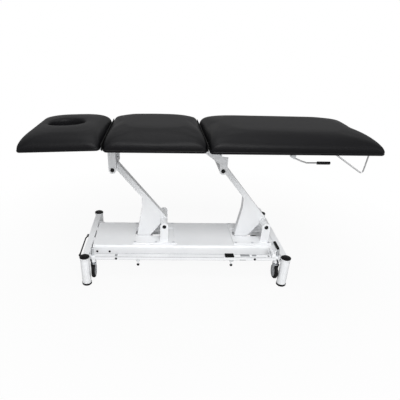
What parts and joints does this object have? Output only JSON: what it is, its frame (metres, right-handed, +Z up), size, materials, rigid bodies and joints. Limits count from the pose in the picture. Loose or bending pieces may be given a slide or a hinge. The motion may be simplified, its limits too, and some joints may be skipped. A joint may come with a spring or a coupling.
{
  "type": "chiropractic treatment table",
  "caption": "Height-adjustable padded treatment table with a tilting head section, a lowering leg section, a parallel lift base and foot-operated casters.",
  "frame": {"origin": "centre of the part's overall box, on the floor under the feet", "axes": "+X along the table from the head section to the leg section, +Y across the table away from the side with the pedals and levers, +Z up"},
  "size_m": [1.992, 0.726, 0.954],
  "materials": {
    "white_enamel": "gloss",
    "black_vinyl": "satin",
    "black_board": "matte",
    "black_cap_plastic": "gloss",
    "bright_chrome": "polished",
    "zinc_steel": "brushed",
    "black_steel": "satin",
    "caster_tyre": "matte",
    "grip_rubber": "matte",
    "actuator_grey": "satin"
  },
  "bodies": {
    "base": {"end_frame_left": "white_enamel", "lower_bracket_left": "white_enamel", "lower_axle_left": "black_steel", "post_cap_left_near": "black_cap_plastic", "foot_left_near": "grip_rubber", "post_cap_left_far": "black_cap_plastic", "foot_left_far": "grip_rubber", "end_frame_right": "white_enamel", "lower_bracket_right": "white_enamel", "lower_axle_right": "black_steel", "post_cap_right_near": "black_cap_plastic", "foot_right_near": "grip_rubber", "post_cap_right_far": "black_cap_plastic", "foot_right_far": "grip_rubber", "side_rail_near": "white_enamel", "chassis": "white_enamel", "platform_cover": "white_enamel", "lift_motor": "actuator_grey"},
    "arm_left": {"lift_arm_left": "white_enamel"},
    "arm_right": {"lift_arm_right": "white_enamel"},
    "top": {"top_frame": "white_enamel", "upper_bracket_left": "white_enamel", "upper_bracket_right": "white_enamel", "upper_axle_left": "black_steel", "upper_axle_right": "black_steel", "middle_board": "black_board", "middle_cushion": "black_vinyl"},
    "drive_rod": {"push_rod": "zinc_steel"},
    "head_section": {"head_frame": "white_enamel", "head_board": "black_board", "head_cushion": "black_vinyl"},
    "leg_section": {"leg_frame": "white_enamel", "leg_board": "black_board", "leg_cushion": "black_vinyl", "lever_mount": "zinc_steel", "roll_holder_near": "bright_chrome", "roll_holder_far": "bright_chrome"},
    "lever": {"release_lever": "bright_chrome", "lever_grip": "grip_rubber"},
    "spring_tube": {"gas_spring_tube": "black_steel"},
    "spring_rod": {"gas_spring_rod": "bright_chrome"},
    "pedal": {"caster_pedal": "white_enamel", "pedal_grip": "grip_rubber"},
    "foot_rocker": {"foot_bar": "black_steel"},
    "toe_left": {"toe_lever_left": "black_steel"},
    "toe_right": {"toe_lever_right": "black_steel"},
    "tread": {"foot_tread": "grip_rubber"},
    "caster_left_near": {"caster_strut_left_near": "zinc_steel"},
    "wheel_left_near": {"caster_wheel_left_near": "caster_tyre"},
    "caster_left_far": {"caster_strut_left_far": "zinc_steel"},
    "wheel_left_far": {"caster_wheel_left_far": "caster_tyre"},
    "caster_right_near": {"caster_strut_right_near": "zinc_steel"},
    "wheel_right_near": {"caster_wheel_right_near": "caster_tyre"},
    "caster_right_far": {"caster_strut_right_far": "zinc_steel"},
    "wheel_right_far": {"caster_wheel_right_far": "caster_tyre"}
  },
  "joints": [
    {"name": "lift", "type": "hinge", "parent": "base", "child": "arm_left", "pos_m": [-0.191, 0, 0.3117], "axis": [0, -1, 0], "range_deg": [-4, 47]},
    {"name": "lift_right", "type": "hinge", "parent": "base", "child": "arm_right", "pos_m": [0.482, 0, 0.3117], "axis": [0, -1, 0], "range_deg": [-4, 47]},
    {"name": "top_level", "type": "hinge", "parent": "arm_left", "child": "top", "pos_m": [-0.511, 0, 0.6929], "axis": [0, -1, 0], "range_deg": [-47, 4]},
    {"name": "drive_slide", "type": "slide", "parent": "base", "child": "drive_rod", "axis": [1, 0, 0], "range_m": [-0.0145, 0.1645]},
    {"name": "head_tilt", "type": "hinge", "parent": "top", "child": "head_section", "pos_m": [-0.548, 0, 0.84], "axis": [0, -1, 0], "range_deg": [0, 60]},
    {"name": "leg_flex", "type": "hinge", "parent": "top", "child": "leg_section", "pos_m": [0.05, 0, 0.84], "axis": [0, 1, 0], "range_deg": [-10, 12]},
    {"name": "spring_swing", "type": "hinge", "parent": "top", "child": "spring_tube", "pos_m": [-0.23, 0, 0.782], "axis": [0, 1, 0], "range_deg": [-1.3, 1.5]},
    {"name": "spring_stroke", "type": "slide", "parent": "spring_tube", "child": "spring_rod", "axis": [-1, 0, 0], "range_m": [-0.0104, 0.0124]},
    {"name": "lever_pull", "type": "hinge", "parent": "leg_section", "child": "lever", "pos_m": [0.512, -0.3, 0.835], "axis": [0, -1, 0], "range_deg": [0, 6]},
    {"name": "pedal_press", "type": "hinge", "parent": "base", "child": "pedal", "pos_m": [0.498, -0.277, 0.213], "axis": [0, -1, 0], "range_deg": [0, 75]},
    {"name": "caster_drop_left_near", "type": "slide", "parent": "base", "child": "caster_left_near", "axis": [0, 0, -1], "range_m": [0, 0.0452]},
    {"name": "wheel_spin_left_near", "type": "hinge", "parent": "caster_left_near", "child": "wheel_left_near", "pos_m": [-0.643, -0.3, 0.086], "axis": [1, 0, 0], "continuous": true},
    {"name": "caster_drop_left_far", "type": "slide", "parent": "base", "child": "caster_left_far", "axis": [0, 0, -1], "range_m": [0, 0.0452]},
    {"name": "wheel_spin_left_far", "type": "hinge", "parent": "caster_left_far", "child": "wheel_left_far", "pos_m": [-0.619, 0.235, 0.086], "axis": [1, 0, 0], "continuous": true},
    {"name": "caster_drop_right_near", "type": "slide", "parent": "base", "child": "caster_right_near", "axis": [0, 0, -1], "range_m": [0, 0.0452]},
    {"name": "wheel_spin_right_near", "type": "hinge", "parent": "caster_right_near", "child": "wheel_right_near", "pos_m": [0.525, -0.3, 0.086], "axis": [1, 0, 0], "continuous": true},
    {"name": "caster_drop_right_far", "type": "slide", "parent": "base", "child": "caster_right_far", "axis": [0, 0, -1], "range_m": [0, 0.0452]},
    {"name": "wheel_spin_right_far", "type": "hinge", "parent": "caster_right_far", "child": "wheel_right_far", "pos_m": [0.501, 0.235, 0.086], "axis": [1, 0, 0], "continuous": true},
    {"name": "foot_bar_rock", "type": "hinge", "parent": "base", "child": "foot_rocker", "pos_m": [-0.716, -0.024, 0.188], "axis": [1, 0, 0], "range_deg": [-8, 8], "stiffness_Nm_per_rad": 12},
    {"name": "toe_rock_left", "type": "hinge", "parent": "base", "child": "toe_left", "pos_m": [-0.358, -0.308, 0.164], "axis": [1, 0, 0], "range_deg": [-8, 8], "stiffness_Nm_per_rad": 1.5},
    {"name": "toe_rock_right", "type": "hinge", "parent": "base", "child": "toe_right", "pos_m": [0.236, -0.308, 0.164], "axis": [1, 0, 0], "range_deg": [-8, 8], "stiffness_Nm_per_rad": 1.5},
    {"name": "tread_press", "type": "hinge", "parent": "base", "child": "tread", "pos_m": [0.22, -0.285, 0.2015], "axis": [1, 0, 0], "range_deg": [0, 4], "stiffness_Nm_per_rad": 3, "springref_deg": -2.86}
  ],
  "couplings": [
    {"joint": "lift_right", "follows": "lift", "ratio": 1},
    {"joint": "top_level", "follows": "lift", "ratio": -1},
    {"joint": "drive_slide", "follows": "lift", "m_per_rad": 0.1995},
    {"joint": "spring_swing", "follows": "leg_flex", "ratio": 0.1225},
    {"joint": "spring_stroke", "follows": "leg_flex", "m_per_rad": 0.0585},
    {"joint": "caster_drop_left_near", "follows": "pedal_press", "m_per_rad": 0.0344},
    {"joint": "caster_drop_left_far", "follows": "pedal_press", "m_per_rad": 0.0344},
    {"joint": "caster_drop_right_near", "follows": "pedal_press", "m_per_rad": 0.0344},
    {"joint": "caster_drop_right_far", "follows": "pedal_press", "m_per_rad": 0.0344}
  ]
}
